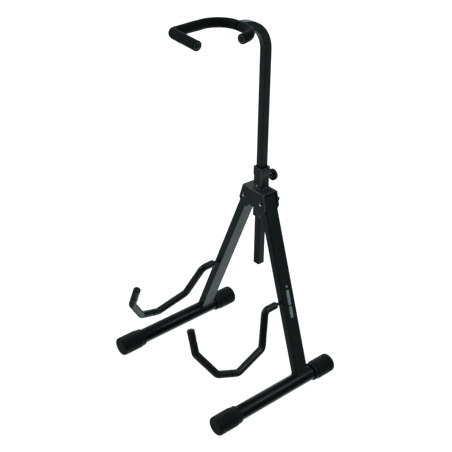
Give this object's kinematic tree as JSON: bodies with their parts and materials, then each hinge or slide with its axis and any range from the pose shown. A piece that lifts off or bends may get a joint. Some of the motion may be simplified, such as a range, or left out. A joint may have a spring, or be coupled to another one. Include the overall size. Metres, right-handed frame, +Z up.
{
  "type": "guitar stand",
  "caption": "Folding floor stand for a guitar: splayed hinged legs on capped feet, a sliding mast with a padded neck yoke, and padded cradle arms.",
  "frame": {"origin": "on the floor, under the middle of the outer box", "axes": "+X is the stand's right as seen from behind it, -Y is the front where the guitar goes, +Z is up"},
  "size_m": [0.3912, 0.35, 0.821],
  "materials": {
    "powder_coat": "satin black powder coat",
    "black_steel": "black zinc plated, slightly shiny",
    "plain_steel": "zinc plated",
    "cap_rubber": "matt moulded rubber",
    "cradle_rubber": "smooth satin rubber tube",
    "yoke_foam": "fine closed-cell foam",
    "plug_rubber": "matt moulded rubber",
    "nylon": "matt moulded nylon",
    "knob_plastic": "satin moulded plastic",
    "knob_brass": "turned brass"
  },
  "bodies": {
    "head": {"head_bracket": "powder_coat", "pivot_bolts": "black_steel", "pivot_nuts": "black_steel", "pivot_washers": "black_steel", "friction_washers": "nylon", "leg_stops": "powder_coat", "mast_sleeve": "powder_coat", "sleeve_collar": "nylon", "sleeve_bush": "nylon", "sleeve_rivet": "black_steel", "clamp_nut": "black_steel"},
    "right_leg": {"right_foot_tube": "powder_coat", "right_front_cap": "cap_rubber", "right_rear_cap": "cap_rubber", "right_leg_tube": "powder_coat", "right_pivot_bush": "plain_steel", "right_cradle_rod": "powder_coat", "right_cradle_sleeve_rear": "cradle_rubber", "right_cradle_sleeve_front": "cradle_rubber", "right_cradle_tip": "cradle_rubber"},
    "left_leg": {"left_foot_tube": "powder_coat", "left_front_cap": "cap_rubber", "left_rear_cap": "cap_rubber", "left_leg_tube": "powder_coat", "left_pivot_bush": "plain_steel", "left_cradle_rod": "powder_coat", "left_cradle_sleeve_rear": "cradle_rubber", "left_cradle_sleeve_front": "cradle_rubber", "left_cradle_tip": "cradle_rubber"},
    "mast": {"mast_tube": "powder_coat", "mast_end_plug": "nylon", "yoke_rod": "powder_coat", "yoke_foam_right": "yoke_foam", "yoke_foam_left": "yoke_foam", "yoke_plug_right": "plug_rubber", "yoke_plug_left": "plug_rubber"},
    "knob": {"knob_stud": "plain_steel", "knob_insert": "knob_brass", "knob_grip": "knob_plastic"}
  },
  "joints": [
    {"name": "right_leg_fold", "type": "hinge", "parent": "head", "child": "right_leg", "pos_m": [0.0275, 0.10226, 0.4085], "axis": [0, 0.9992, -0.0401], "range_deg": [0, 20.5]},
    {"name": "left_leg_fold", "type": "hinge", "parent": "head", "child": "left_leg", "pos_m": [-0.0275, 0.10226, 0.4085], "axis": [0, -0.9992, 0.0401], "range_deg": [0, 20.5]},
    {"name": "mast_height", "type": "slide", "parent": "head", "child": "mast", "axis": [0, 0, 1], "range_m": [-0.22, 0.18]},
    {"name": "knob_turn", "type": "hinge", "parent": "head", "child": "knob", "pos_m": [0, 0.13676, 0.452], "axis": [0, 1, 0], "range_deg": [0, 540]}
  ]
}
